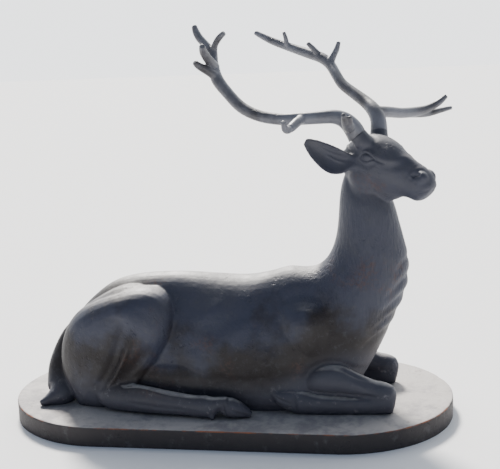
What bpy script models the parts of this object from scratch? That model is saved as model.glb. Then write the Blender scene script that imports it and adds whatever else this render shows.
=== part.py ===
"""Cast iron stag lying on a plinth with round ends: plinth, stag and two antlers."""

import math

import bmesh
import bpy
import numpy as np
from mathutils import Matrix, Vector

# Driving dimensions, in metres.
PLINTH_LENGTH = 1.60
PLINTH_WIDTH = 0.78
PLINTH_HEIGHT = 0.068
PLINTH_EDGE = 0.005
STAG_LENGTH = 1.46
STAG_OFFSET = -0.04
SEAT_GAP = 0.0003
VOXEL = 0.006
ANTLER_VOXEL = 0.0035
STAG_TRIANGLES = 6500
ANTLER_TRIANGLES = 1050

# The figure is laid out in squares of a modeller's grid, 146 of them along the stag from
# tail to nose. X runs to the head, Y to the stag's left and Z up from the plinth's top.
GRID = STAG_LENGTH / 146
HEAD_TURN = math.radians(-30)
TURN_AXIS_X = 50
TURN_STARTS_Z = 46
TURN_ENDS_Z = 72
SIDES = (-1, 1)

# Antler seats on the skull: middle, way that the seat faces (both for a head that looks
# straight on, outward counted plus) and radius.
SEAT_RADIUS = 3.1
RIGHT_SEAT = ((52.3, 6.1, 93.5), (-0.55, 0.25, 0.79))
LEFT_SEAT = ((52.6, 6.1, 93.6), (-0.25, 0.35, 0.9))

# Stations of the trunk and of the head: back (x, z), belly (x, z), half-width and egg.
TRUNK = [
    (-61, 17, -60, 6, 4, 0),
    (-58.5, 23, -57, 0, 10, 0.05),
    (-54, 30.8, -53, -2, 13.5, 0.1),
    (-48, 37, -46, -2, 15.5, 0.12),
    (-39.7, 42.6, -38, -2, 16, 0.15),
    (-29, 45.2, -28, -2, 16, 0.18),
    (-15, 45.8, -15, -2, 16.2, 0.2),
    (-4, 45.2, -2, -2, 18, 0.2),
    (8, 44.6, 10, -2, 18.8, 0.18),
    (16.5, 45.8, 22, -2, 17.8, 0.15),
    (23.5, 47.6, 33, -2, 16.8, 0.12),
    (29, 47.4, 44, 2, 15.5, 0.08),
    (33.4, 48, 52, 14, 14.2, 0.05),
    (36.6, 50.4, 58.2, 26.5, 13, 0),
    (38.8, 54, 63.9, 39, 11.6, 0),
    (40.2, 58.4, 65.1, 49, 10.3, 0),
    (40.9, 63, 63.7, 57, 9.3, 0),
    (41.2, 67.3, 62.6, 62.5, 8.6, 0),
    (41.5, 71.6, 61.4, 68, 8, 0),
    (42.2, 76, 60, 72, 7.3, 0),
    (44, 81, 58, 76, 6.4, 0),
]
HEAD = [
    (43.0, 85, 46, 78, 4.5, 0),
    (45.2, 90, 49, 73.5, 6.4, -0.05),
    (50.5, 93.0, 53.5, 71, 7.2, -0.12),
    (57, 93.2, 58.5, 70.8, 7.5, -0.26),
    (62, 91.2, 62.5, 71.8, 6.6, -0.28),
    (66.3, 87.8, 65.5, 73, 5.1, -0.14),
    (70.5, 85.1, 68, 72.8, 4.3, 0),
    (74, 83, 70.8, 72.0, 4.1, 0.05),
    (76.1, 81, 73.3, 72.6, 3.8, 0.05),
    (77.1, 78.6, 75.3, 74.2, 2.9, 0),
    (77.2, 77.2, 76.2, 75.5, 1.8, 0),
]

# Antlers: beam first, then each tine, as x, y, z and radius on the grid.
RIGHT_ANTLER = [
    [
        (49, -5.5, 92, 3.2),
        (47.5, -6.5, 95.5, 3.2),
        (45, -7.5, 98.5, 2.8),
        (41.5, -8.5, 100, 2.4),
        (36, -9.5, 100, 2.2),
        (30, -9.5, 99.8, 2.15),
        (23, -9, 99.8, 2),
        (16.2, -8, 101, 1.95),
        (10, -5.5, 103.8, 2),
        (5, -2.5, 108.4, 2),
        (1, 0, 113.2, 2.15),
        (-0.5, 2.5, 118, 1.8),
        (-0.8, 4.5, 122, 1.5),
    ],
    [
        (46.5, -7, 97, 1.9),
        (46.2, -12, 96.7, 1.8),
        (46.4, -18, 97.5, 1.6),
        (46.2, -24, 99.5, 1.3),
        (46, -29, 102.3, 0.7),
    ],
    [(46.3, -17, 97.4, 1.4), (47.4, -23, 99, 1.1), (48, -27, 101.4, 0.6)],
    [
        (31.2, -9.5, 99.8, 1.6),
        (29.7, -13.5, 99, 1.6),
        (27.9, -18, 97.4, 1.45),
        (26.9, -21.5, 97.5, 1.2),
        (26.5, -24, 100.2, 0.8),
    ],
    [
        (1.5, 0, 113, 1.7),
        (-0.6, -1, 115.2, 1.6),
        (-3, -3, 117, 1.4),
        (-4.5, -4.5, 118.2, 1.2),
        (-5.3, -5.5, 119.3, 0.9),
    ],
    [(0.4, 2, 117, 1.5), (-1, -2, 119.5, 1.6), (-1.9, -6, 122.4, 1.4), (-1.8, -8.5, 124.5, 1)],
    [
        (-0.9, 4.5, 121.8, 1.5),
        (-3.7, 6.5, 124.6, 1.4),
        (-6.2, 8, 127.1, 1.4),
        (-7.6, 9, 129.4, 1.25),
        (-8.2, 9.5, 131.4, 0.9),
    ],
    [(-0.7, 4.5, 122, 1.3), (0, 4, 124.5, 1.1), (1.7, 3, 126.8, 1.1), (3.8, 2, 128.5, 0.9)],
]
LEFT_ANTLER = [
    [
        (55.3, 3.5, 91.5, 3.1),
        (55.3, 4.5, 94.5, 2.9),
        (55, 5.5, 97.5, 2.7),
        (53.5, 8, 100.4, 2.5),
        (50.6, 12, 103, 2.2),
        (46.2, 16, 106, 2),
        (42, 20, 109, 1.9),
        (39.4, 24, 112.5, 1.85),
        (37.2, 28, 115.5, 1.9),
        (34, 31, 118, 2),
        (28, 35, 120, 1.85),
        (22, 38, 122, 1.65),
        (15, 40.5, 124.5, 1.4),
        (10.2, 42, 126.8, 1.15),
        (7.6, 42.5, 128.2, 0.85),
    ],
    [
        (54.5, 7, 99.9, 2.1),
        (58.2, 11, 99.5, 1.95),
        (62.8, 16, 98.6, 1.85),
        (67.6, 21, 98.5, 1.75),
        (71.4, 24, 99.2, 1.4),
        (75.3, 26.5, 100.9, 1.25),
        (78.3, 28, 103.3, 0.85),
    ],
    [(65.5, 20, 97.8, 1.3), (71, 25, 97.3, 1.2), (76, 29, 98, 1), (80.2, 32, 98.7, 0.7)],
    [(37, 28, 116, 1.6), (38.3, 28.5, 118.7, 1.2), (39.5, 29, 121, 1.05), (40.3, 29.5, 123.7, 0.75)],
    [(33.8, 32, 118, 1.3), (32.2, 31, 120, 1.05), (30.4, 30.5, 122, 0.95), (28.8, 30, 123.7, 0.75)],
    [(21.4, 38, 122, 1.1), (20.4, 37.5, 123.6, 0.95), (20, 37, 125.7, 0.85), (19.4, 36.5, 128, 0.65)],
]

# Carving seen from the side: depth (plus stands proud), width and the line's x, z points.
BODY_LINES = [
    # Tendon above the hock, with a hollow on each side.
    (1.2, 1.0, [(-28.5, 29), (-31, 22.5), (-33.5, 17), (-37, 11.5), (-41.5, 6.5)]),
    (-1.6, 2.2, [(-31.5, 34), (-33.6, 26), (-36.2, 18.5), (-39.5, 12.5), (-44, 7)]),
    (-1.4, 2.8, [(-23, 25), (-26.5, 19), (-30.5, 14), (-34, 10)]),
    # Muscle that crosses the thigh to the stifle.
    (0.6, 3.2, [(-38, 39), (-29, 34), (-18, 27)]),
    # Fold of the flank below the thigh.
    (0.5, 2.6, [(-9, 22), (-6, 15), (-2, 9)]),
    # Ribs and flank.
    (0.6, 2.4, [(-8, 30), (-3, 34.5), (3, 37.5)]),
    (-0.4, 2.4, [(-3, 27.5), (3, 31), (8, 35.5)]),
    (0.4, 2.4, [(4, 26), (9, 30), (13, 35)]),
    # Rear edge of the shoulder, the hollow behind the elbow, and its front edge.
    (-0.45, 3.2, [(17, 44), (19, 37), (22, 31.5), (20.5, 27), (17, 22)]),
    (-0.4, 3.4, [(14, 26), (19, 23), (24, 19)]),
    (-0.4, 3.4, [(36, 48), (40.5, 39), (42, 31), (43, 22)]),
    (0.3, 4.0, [(30, 40), (34, 31), (36, 21)]),
    (-0.7, 1.2, [(28.6, 9), (31.4, 14.2), (36.4, 17.4), (42, 17), (47, 13.8), (52.4, 11.4)]),
    # Legs: the crease between forearm and shin, and the edge and the tendon of each shin.
    (-1.0, 0.8, [(30, 8), (38, 7.2), (47, 6.8), (55, 6.8)]),
    (0.35, 0.6, [(-33, 9.2), (-26, 9.4), (-16, 7.6), (-7, 6.8)]),
    (-0.35, 0.7, [(-33, 5), (-20, 3.8), (-6, 3.2)]),
    (0.3, 0.6, [(30, 5.6), (40, 5), (52, 5)]),
    # Hooves.
    (-0.5, 0.45, [(2.8, 6.6), (3.2, 3.6), (2.9, 0.6)]),
    (-0.45, 0.4, [(4.5, 4.4), (8.5, 2.4), (11.6, 1.2)]),
    (-0.5, 0.5, [(27.2, 8.2), (26.6, 4.5), (27.2, 1)]),
    (-0.45, 0.4, [(25.5, 4.2), (22, 5.4), (19.3, 6.6)]),
]
# Waves of the mane, which run right round the front of the neck.
MANE_LINES = [
    (-0.4, 1.2, [(72, 57), (65, 51.5), (60, 46)]),
    (-0.6, 1.3, [(71, 49.5), (63.5, 44), (57, 38)]),
    (-0.7, 1.3, [(69, 42.5), (61, 37), (54, 31)]),
    (-0.6, 1.2, [(65, 35), (57.5, 30.5), (51, 26)]),
    (-0.5, 1.1, [(60, 28.5), (53.5, 24.5), (48, 21)]),
]
FACE_LINES = [
    # Eye: hollows above and below, ball, lids and the corner towards the nose.
    (-0.4, 0.9, [(52, 86.8), (54, 89), (57, 89.7), (60.6, 88)]),
    (-0.35, 0.9, [(52, 86), (54.4, 84), (57.2, 83.8), (60, 85)]),
    (0.4, 0.8, [(54.8, 86.5), (56.1, 86.7), (57.5, 86.5)]),
    (0.35, 0.4, [(52.8, 86.3), (54.3, 88), (56.4, 88.6), (58.8, 87.3), (60, 85.9)]),
    (0.22, 0.4, [(53, 86.2), (54.8, 85), (56.6, 84.7), (58.6, 85.4), (60, 86)]),
    (-0.36, 0.38, [(53.2, 86.4), (54.7, 87.5), (56.4, 87.9), (58.2, 87), (59.6, 86)]),
    (-0.22, 0.35, [(53.4, 86.3), (55, 85.5), (56.6, 85.4), (58.4, 85.8), (59.6, 86)]),
    (-0.4, 0.5, [(58.4, 86.3), (60.4, 85.5), (63, 84.6)]),
    # Ridge from the eye along the nose, and the hollow cheek under it.
    (0.25, 1.1, [(58.5, 88), (61, 86.4), (63, 85.8), (65.5, 85.8), (68, 86.8), (70, 88.4)]),
    (-0.25, 1.4, [(60.5, 84.6), (64, 83.6), (67.5, 84), (71, 84)]),
    (0.3, 1.8, [(55, 82), (61, 80), (67, 78)]),
    (0.35, 1.8, [(53.5, 75.8), (50.8, 80.2), (51.6, 84.6)]),
    (-0.35, 1.4, [(47.4, 87), (47.2, 80), (49.5, 75), (55, 71.6)]),
    # Nostril with its rim, the edge of the muzzle, the mouth and the lower lip.
    (-0.85, 0.7, [(71.2, 80.2), (72.6, 81.2), (74.4, 81.2)]),
    (0.2, 0.6, [(70.4, 80), (71.4, 82.4), (74.4, 83.2)]),
    (0.3, 0.7, [(71.2, 78.8), (73, 78.8), (75, 79.2)]),
    (-0.25, 0.9, [(69.8, 83.4), (69, 80.4), (69.4, 76)]),
    (-0.35, 0.45, [(80, 77.4), (76.6, 76.2), (74, 75.4), (71, 75)]),
    # Ridges inside the ear.
    (0.3, 0.4, [(49.6, 87.8), (45, 89.8), (40, 92)]),
    (0.3, 0.4, [(49.4, 86), (45, 87.6), (41, 90)]),
    (0.25, 0.4, [(49, 84.2), (45.4, 85.4), (42.6, 87.4)]),
]

IRON = (0.045, 0.045, 0.052, 1)
PLINTH_IRON = (0.10, 0.095, 0.095, 1)


def spline_rows(rows, steps):
    """A smooth curve through rows of numbers, with this many steps between two of them."""
    rows = np.array(rows, float)
    ends = np.vstack([2 * rows[0] - rows[1], rows, 2 * rows[-1] - rows[-2]])
    out = []
    for a, b, c, d in zip(ends, ends[1:], ends[2:], ends[3:]):
        for t in np.arange(steps) / steps:
            out.append(
                0.5 * (2 * b + (c - a) * t + (2 * a - 5 * b + 4 * c - d) * t**2)
                + 0.5 * (3 * b - a - 3 * c + d) * t**3
            )
    out.append(rows[-1])
    return np.array(out)


def skin(bm, rings):
    """Extrudes a capped polygon from ring to ring, which makes one closed tube."""
    spokes = len(rings[0])
    spoke = bm.verts.layers.int.get("spoke") or bm.verts.layers.int.new("spoke")
    circle = bmesh.ops.create_circle(bm, cap_ends=True, segments=spokes, radius=1)
    cap = circle["verts"][0].link_faces[0]
    for number, corner in enumerate(cap.verts):
        corner[spoke] = number
        corner.co = rings[0][number]
    for ring in rings[1:]:
        grown = bmesh.ops.extrude_face_region(bm, geom=[cap])["geom"]
        cap = next(part for part in grown if isinstance(part, bmesh.types.BMFace))
        for corner in cap.verts:
            corner.co = ring[corner[spoke]]


def section(centre, up, side, egg=0.0, spokes=20):
    """One ring: an ellipse on two half-axes, and egg above 0 makes its lower side wider."""
    ring = []
    for turn in np.arange(spokes) * 2 * math.pi / spokes:
        rise = math.sin(turn)
        ring.append(Vector(centre + up * rise + side * math.cos(turn) * (1 - egg * rise)))
    return ring


def profile_loft(bm, stations, steps=4):
    """Skins sections given as back (x, z), belly (x, z), half-width and egg."""
    rings = []
    for back_x, back_z, belly_x, belly_z, half, egg in spline_rows(stations, steps):
        back = np.array([back_x, 0, back_z])
        belly = np.array([belly_x, 0, belly_z])
        rings.append(
            section((back + belly) / 2, (back - belly) / 2, np.array([0, half, 0]), egg)
        )
    skin(bm, rings)


def limb(bm, stations, mirror=1, steps=4, spokes=12, up=(0, 0, 1)):
    """Skins an elliptical limb along stations of x, y, z, half-width and half-height."""
    rows = spline_rows(stations, steps)
    rows[:, 1] *= mirror
    along = np.gradient(rows[:, :3], axis=0)
    rings = []
    for row, way in zip(rows, along):
        way = way / np.linalg.norm(way)
        side = np.cross(np.array(up, float), way)
        side /= np.linalg.norm(side)
        rise = np.cross(way, side)
        rings.append(section(row[:3], rise * row[4], side * row[3], spokes=spokes))
    skin(bm, rings)


def ball(bm, centre, radii, mirror=1):
    """An ellipsoid."""
    place = Matrix.Translation((centre[0], centre[1] * mirror, centre[2]))
    bmesh.ops.create_icosphere(
        bm, subdivisions=3, radius=1, matrix=place @ Matrix.Diagonal((*radii, 1))
    )


def pad(bm, outline, mirror, inner, outer, rear_hug=0, top_hug=0, front_hug=0, edge=0.4):
    """A cushion of muscle on the flank: an outline in x and z that domes from inner to
    outer, with its rear, its top and its front drawn in towards the body. A higher edge
    makes its rim less steep."""
    outline = spline_rows([*outline, outline[0]], 3)[:-1]
    middle = outline.mean(axis=0)
    rear_from = outline[:, 0].max() - np.ptp(outline[:, 0]) / 3
    top_from = outline[:, 1].max() - 15
    rings = []
    for turn in np.radians([-30, 0, 15, 30, 45, 58, 70, 80, 86]):
        share = math.cos(max(turn, 0)) ** edge
        ring = []
        for x, z in middle + (outline - middle) * share:
            reach = inner + (outer - inner) * math.sin(turn)
            reach -= rear_hug * max(0, (rear_from - x) / 30) ** 2
            reach -= top_hug * max(0, (z - top_from) / 15) ** 2
            reach -= front_hug * max(0, (x - middle[0]) / 12) ** 2
            ring.append(Vector((x, max(reach, 0) * mirror, z)))
        rings.append(ring)
    skin(bm, rings)


def add_head(bm):
    profile_loft(bm, HEAD)
    for mirror, (middle, way) in zip(SIDES, (RIGHT_SEAT, LEFT_SEAT)):
        ball(bm, (56.2, 5.3, 86.8), (4.4, 2.5, 3.3), mirror)
        ball(bm, (58.4, 4.4, 88.8), (4.8, 1.7, 1.3), mirror)
        ball(bm, (54.8, 5.4, 90), (2.6, 1.6, 1.5), mirror)
        ball(bm, (53.0, 4.4, 79.5), (6.5, 3.2, 6.5), mirror)
        ball(bm, (73.4, 2.4, 79.8), (2.9, 2.1, 2.6), mirror)
        middle, way = np.array(middle), np.array(way)
        stump = [(-6, 0.9), (-3, 1.02), (-1, 0.97), (1.5, 0.95)]
        radius = SEAT_RADIUS
        limb(
            bm,
            [(*(middle + way * low), radius * wide, radius * wide) for low, wide in stump],
            mirror,
            up=(1, 0, 0),
        )


def add_hind_leg(bm, mirror, drop):
    """Haunch, shank to the hock, then shin and hoof along the plinth."""
    haunch = [
        (-53, -2),
        (-57.6, 6),
        (-59.4, 13.5),
        (-58.8, 21),
        (-56, 28),
        (-51.5, 33.4),
        (-45, 37.4),
        (-38, 40.2),
        (-31, 42.2),
        (-26, 42.8),
        (-21.8, 41.9),
        (-18.3, 39.6),
        (-16.3, 36),
        (-15.5, 31.5),
        (-16, 27),
        (-18, 22.5),
        (-21, 17.5),
        (-25, 12.5),
        (-29.5, 8),
        (-36, 3),
        (-43, -2),
    ]
    low = [(x, z - drop * max(0, z) / 44) for x, z in haunch]
    pad(bm, low, mirror, 12, 21, rear_hug=5)
    rump = [(-24, 7, 31), (-31, 8, 35), (-38.4, 8.5, 32.4), (-44.7, 8.5, 27.8), (-50.8, 8.5, 17)]
    limb(bm, [(x, y, z - drop * z / 44, 8, 8) for x, y, z in rump], mirror)
    belly = [(-34, 8, 8.5), (-20, 10, 9.5), (-5, 10.5, 9), (15, 10.5, 8.5), (30, 8.5, 8.5)]
    limb(bm, [(*place, 8, 11.5) for place in belly], mirror)
    limb(
        bm,
        [
            (-26, 12, 20, 4.0, 6.5),
            (-31, 14.4, 14, 3.8, 5.6),
            (-35, 16.6, 9, 3.2, 4.6),
            (-38.5, 17.8, 4.5, 3.0, 3.8),
        ],
        mirror,
        up=(1, 0, 0.6),
    )
    limb(
        bm,
        [
            (-42.6, 17.4, 3.6, 1.6, 2.2),
            (-40.6, 18, 4.8, 2.8, 4.4),
            (-35, 19.2, 5.2, 3.2, 5.0),
            (-27, 20.8, 5.3, 3.2, 5.0),
            (-16, 22.2, 4.6, 3.0, 4.2),
            (-8, 23, 4.1, 2.9, 3.8),
            (-3, 23.4, 4.0, 3.1, 4.0),
            (-0.8, 23.5, 4.6, 2.9, 3.3),
            (1.2, 23.4, 5.4, 2.4, 2.2),
            (4, 23.2, 5.4, 2.4, 2.2),
        ],
        mirror,
    )
    limb(
        bm,
        [
            (2.2, 23.2, 5.2, 2.3, 2.2),
            (4.2, 22.9, 4.0, 2.9, 3.4),
            (7.5, 22.5, 2.9, 3.0, 2.9),
            (10, 22.2, 1.9, 2.2, 1.9),
            (12, 22, 1.0, 1.0, 0.8),
        ],
        mirror,
    )
    limb(
        bm,
        [(-2.2, 24.4, 3.0, 1.4, 1.4), (-1.2, 25.2, 1.4, 1.1, 1.1), (-0.6, 25.6, 0.2, 0.7, 0.7)],
        mirror,
        up=(1, 0, 0),
    )


def add_fore_leg(bm, mirror):
    """Shoulder, elbow and forearm to the knee, then the shin folded back under it, hoof."""
    shoulder = [
        (18.5, 36.5),
        (21.5, 41.5),
        (27, 43.5),
        (34, 43),
        (39, 40),
        (41.4, 34),
        (42, 26),
        (40, 17),
        (33, 11),
        (25, 14),
        (21.5, 21),
        (18.5, 29),
    ]
    pad(bm, shoulder, mirror, 9, 17.5, top_hug=7, front_hug=1.5, edge=0.8)
    limb(
        bm,
        [
            (30.5, 12, 10, 3.6, 4.6),
            (35, 14, 11.4, 4.8, 5.4),
            (40.5, 14.8, 11.5, 4.6, 5.2),
            (46.5, 15, 9.9, 3.9, 4.2),
            (52.2, 15, 8, 3.5, 3.7),
            (55.6, 15, 7, 3.7, 4),
            (58.4, 15, 6.1, 3.3, 3.6),
            (59.8, 15, 5.6, 2.0, 2.2),
        ],
        mirror,
    )
    limb(
        bm,
        [
            (60.4, 15, 4.4, 1.6, 2.2),
            (59.4, 15, 4.5, 3.0, 4.2),
            (56.4, 15, 4.2, 3.6, 4.6),
            (50, 15.5, 3.1, 3.2, 3.6),
            (36, 16.5, 3.2, 3.0, 3.7),
            (29, 17, 3.7, 3.1, 4.0),
            (25.8, 17, 4.3, 2.8, 3.8),
            (23, 17, 5.2, 2.8, 3.3),
            (20.5, 17, 6.4, 2.3, 2.2),
            (18.8, 17, 7.3, 1.3, 1.1),
        ],
        mirror,
    )
    limb(
        bm,
        [(22, 16, 7.4, 2.0, 1.8), (20.2, 16.6, 9, 1.3, 1.3), (18.8, 17, 9.4, 0.8, 0.7)],
        mirror,
        up=(1, 0, 1),
    )


def add_tail(bm):
    limb(
        bm,
        [
            (-52, 0, 28, 3, 3),
            (-57, -0.8, 22, 4, 4.2),
            (-59.6, -2.4, 16, 4.8, 4.9),
            (-60.6, -4.4, 10.5, 5.4, 5.6),
            (-59.8, -7.5, 5.6, 5.4, 6),
            (-59.8, -11.5, 3.2, 4.8, 5),
            (-63, -14.8, 1.9, 2.6, 2.2),
            (-65.8, -16.8, 1.1, 1.1, 1),
        ],
        up=(-1, 0, 0.5),
    )


def add_ear(bm, mirror, root, tip, facing):
    """A leaf-shaped ear with a full lower edge, hollow on the side that it faces."""
    root, tip = np.array(root, float), np.array(tip, float)
    length = np.linalg.norm(tip - root)
    along = (tip - root) / length
    across = np.cross(along, np.array(facing, float))
    across /= np.linalg.norm(across)
    outward = np.cross(across, along)
    # Share of the length, middle below the line to the tip, half-width, wall and hollow.
    leaf = [
        (-0.12, 0.2, 1.9, 1.8, 0),
        (0, 0.7, 2.5, 1.6, 0.2),
        (0.1, 1.9, 3.6, 1.2, 1.0),
        (0.28, 2.7, 4.5, 0.9, 2.0),
        (0.5, 2.6, 4.4, 0.85, 2.2),
        (0.75, 2.0, 3.3, 0.85, 1.5),
        (0.9, 1.5, 2.2, 0.8, 0.7),
        (1, 1.1, 1.2, 0.7, 0.1),
    ]
    rings = []
    for share, drop, half, wall, hollow in spline_rows(leaf, 3):
        ring = []
        for turn in np.arange(28) * 2 * math.pi / 28:
            edge = math.cos(turn)
            rise = wall * math.copysign(abs(math.sin(turn)) ** 0.4, math.sin(turn))
            depth = rise - hollow * (1 - edge**2)
            point = root + along * length * share
            point += across * (drop + half * edge) + outward * depth
            ring.append(Vector((point[0], point[1] * mirror, point[2])))
        rings.append(ring)
    skin(bm, rings)


def turned(points):
    """Turns neck and head about an upright axis, more with height, as the stag looks round."""
    points = np.array(points, float)
    rise = np.clip((points[:, 2] - TURN_STARTS_Z) / (TURN_ENDS_Z - TURN_STARTS_Z), 0, 1)
    angle = HEAD_TURN * rise * rise * (3 - 2 * rise)
    x, y = points[:, 0] - TURN_AXIS_X, points[:, 1].copy()
    points[:, 0] = TURN_AXIS_X + x * np.cos(angle) - y * np.sin(angle)
    points[:, 1] = x * np.sin(angle) + y * np.cos(angle)
    return points


def placed(points):
    """From the modeller's grid to its place on the plinth, in metres."""
    points = points * GRID
    points[:, 1] += STAG_OFFSET
    points[:, 2] += PLINTH_HEIGHT
    return points


def seat_plane(seat, mirror):
    """Middle and facing of an antler's seat, on the plinth and in metres."""
    middle, way = np.array(seat, float)
    ends = np.array([middle, middle + way])
    ends[:, 1] *= mirror
    low, high = placed(turned(ends))
    return low, (high - low) / np.linalg.norm(high - low)


def material(name, colour, roughness):
    made = bpy.data.materials.new(name)
    made.use_nodes = True
    shader = made.node_tree.nodes["Principled BSDF"]
    shader.inputs["Base Color"].default_value = colour
    shader.inputs["Metallic"].default_value = 0.6
    shader.inputs["Roughness"].default_value = roughness
    return made


def new_object(name, bm, finish=None):
    bmesh.ops.recalc_face_normals(bm, faces=bm.faces)
    mesh = bpy.data.meshes.new(name)
    bm.to_mesh(mesh)
    bm.free()
    made = bpy.data.objects.new(name, mesh)
    bpy.context.scene.collection.objects.link(made)
    if finish:
        mesh.materials.append(finish)
    return made


def applied(made):
    """Bakes an object's modifiers into its mesh."""
    graph = bpy.context.evaluated_depsgraph_get()
    mesh = bpy.data.meshes.new_from_object(made.evaluated_get(graph))
    made.modifiers.clear()
    made.data = mesh


def read_points(mesh):
    points = np.empty(len(mesh.vertices) * 3, np.float32)
    mesh.vertices.foreach_get("co", points)
    return points.reshape(-1, 3).astype(float)


def read_normals(mesh):
    normals = np.empty(len(mesh.vertices) * 3, np.float32)
    mesh.vertex_normals.foreach_get("vector", normals)
    return normals.reshape(-1, 3).astype(float)


def write_points(mesh, points):
    mesh.vertices.foreach_set("co", points.astype(np.float32).ravel())
    mesh.update()


def stroke(points, line, width):
    """How strongly a tool drawn along a line presses each point: most on the line, and
    less towards its two ends."""
    nearest = np.full(len(points), np.inf)
    walked = np.zeros(len(points))
    for number, (start, end) in enumerate(zip(line, line[1:])):
        way = end - start
        share = np.clip((points - start) @ way / (way @ way), 0, 1)
        gap = np.linalg.norm(points - start - share[:, None] * way, axis=1)
        closer = gap < nearest
        nearest[closer] = gap[closer]
        walked[closer] = (number + share[closer]) / (len(line) - 1)
    return np.exp(-((nearest / width) ** 2)) * np.sin(np.pi * walked) ** 0.7


def carve(mesh, lines, sides=SIDES):
    """Presses lines drawn on the side view into the flanks, or raises them. Without a
    side, they go right round."""
    points, normals = read_points(mesh), read_normals(mesh)
    grid = points[:, [0, 2]] / GRID
    shift = np.zeros(len(points))
    for depth, width, line in lines:
        line = spline_rows(line, 3)
        near = np.all((grid > line.min(0) - 3 * width) & (grid < line.max(0) + 3 * width), axis=1)
        fall = stroke(grid[near], line, width)
        for side in sides:
            outward = np.clip(normals[near, 1] * side * 2.5 - 0.3, 0, 1) if side else 1
            shift[near] += depth * fall * outward * (points[near, 1] * side >= 0)
    write_points(mesh, points + normals * shift[:, None] * GRID)


def refine(mesh, low):
    """Divides the faces above and ahead of a corner on the grid, for finer carving."""
    bm = bmesh.new()
    bm.from_mesh(mesh)
    edges = set()
    for face in bm.faces:
        middle = face.calc_center_median() / GRID
        if middle.x > low[0] and middle.z > low[1]:
            edges.update(face.edges)
    bmesh.ops.subdivide_edges(bm, edges=list(edges), cuts=1, use_grid_fill=True)
    bm.to_mesh(mesh)
    bm.free()


def cut_flat(mesh, middle, way, reach=math.inf):
    """Cuts away what lies beyond a plane, within reach of its middle, and closes the cut."""
    bm = bmesh.new()
    bm.from_mesh(mesh)
    middle, way = Vector(middle), Vector(way)
    faces = [f for f in bm.faces if (f.calc_center_median() - middle).length < reach]
    edges = {edge for face in faces for edge in face.edges}
    corners = {corner for face in faces for corner in face.verts}
    cut = bmesh.ops.bisect_plane(
        bm,
        geom=[*corners, *edges, *faces],
        plane_co=middle,
        plane_no=way,
        clear_outer=True,
    )
    rim = [part for part in cut["geom_cut"] if isinstance(part, bmesh.types.BMEdge)]
    bmesh.ops.edgenet_fill(bm, edges=rim)
    bmesh.ops.recalc_face_normals(bm, faces=bm.faces)
    bm.to_mesh(mesh)
    bm.free()


def fused(name, bm, finish, voxel, smoothing):
    """Overlapping shells made one closed skin, with their junctions eased."""
    bmesh.ops.scale(bm, vec=(GRID,) * 3, verts=bm.verts)
    made = new_object(name, bm, finish)
    union = made.modifiers.new("union", "REMESH")
    union.mode = "VOXEL"
    union.voxel_size = voxel
    blend = made.modifiers.new("blend", "SMOOTH")
    blend.factor = 0.5
    blend.iterations = smoothing
    applied(made)
    return made


def thinned(made, triangles):
    thin = made.modifiers.new("thin", "DECIMATE")
    thin.ratio = triangles / (2 * len(made.data.polygons))
    applied(made)


def build_stag(finish):
    bm = bmesh.new()
    profile_loft(bm, TRUNK)
    add_head(bm)
    add_hind_leg(bm, -1, drop=0)
    add_hind_leg(bm, 1, drop=5)
    for mirror in SIDES:
        add_fore_leg(bm, mirror)
    add_tail(bm)
    add_ear(bm, -1, (50.8, 6.6, 84.9), (38.2, 15.8, 93.1), (0.62, 0.76, 0.15))
    add_ear(bm, 1, (50.8, 6.6, 84.9), (41, 18.5, 86), (0.62, 0.76, 0.15))
    stag = fused("stag", bm, finish, VOXEL, 6)
    carve(stag.data, BODY_LINES)
    carve(stag.data, MANE_LINES, sides=[0])
    refine(stag.data, (42, 72))
    carve(stag.data, FACE_LINES)
    write_points(stag.data, placed(turned(read_points(stag.data) / GRID)))
    thinned(stag, STAG_TRIANGLES)
    cut_flat(stag.data, (0, 0, PLINTH_HEIGHT + SEAT_GAP), (0, 0, -1))
    for mirror, seat in zip(SIDES, (RIGHT_SEAT, LEFT_SEAT)):
        cut_flat(stag.data, *seat_plane(seat, mirror), reach=1.5 * SEAT_RADIUS * GRID)
    return stag


def build_antler(name, finish, parts, seat, mirror):
    """Beam and tines, fused and cut flat where the foot meets the skull."""
    bm = bmesh.new()
    for stations in parts:
        rows = [(x, y, z, radius, radius) for x, y, z, radius in stations]
        limb(bm, rows, up=(0.3, 1, 0.2))
    antler = fused(name, bm, finish, ANTLER_VOXEL, 2)
    write_points(antler.data, placed(read_points(antler.data) / GRID))
    thinned(antler, ANTLER_TRIANGLES)
    middle, way = seat_plane(seat, mirror)
    cut_flat(antler.data, middle + way * SEAT_GAP, -way)
    return antler


def build_antlers(finish):
    build_antler("antler_right", finish, RIGHT_ANTLER, RIGHT_SEAT, -1)
    build_antler("antler_left", finish, LEFT_ANTLER, LEFT_SEAT, 1)


def build_plinth(finish):
    """A flat slab with half-round ends."""
    bm = bmesh.new()
    half = PLINTH_WIDTH / 2
    steps = 32
    circle = bmesh.ops.create_circle(bm, cap_ends=True, segments=2 * steps, radius=half)
    for corner in circle["verts"]:
        corner.co.x += math.copysign(PLINTH_LENGTH / 2 - half, corner.co.x)
    grown = bmesh.ops.extrude_face_region(bm, geom=list(bm.faces))["geom"]
    lifted = [part for part in grown if isinstance(part, bmesh.types.BMVert)]
    bmesh.ops.translate(bm, vec=(0, 0, PLINTH_HEIGHT), verts=lifted)
    plinth = new_object("plinth", bm, finish)
    edge = plinth.modifiers.new("edge", "BEVEL")
    edge.width = PLINTH_EDGE
    edge.segments = 2
    edge.limit_method = "ANGLE"
    return plinth


def main():
    for left_over in list(bpy.data.objects):
        bpy.data.objects.remove(left_over)
    iron = material("cast iron", IRON, 0.45)
    plinth_iron = material("plinth iron", PLINTH_IRON, 0.6)
    build_plinth(plinth_iron)
    build_stag(iron)
    build_antlers(iron)


main()
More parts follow.
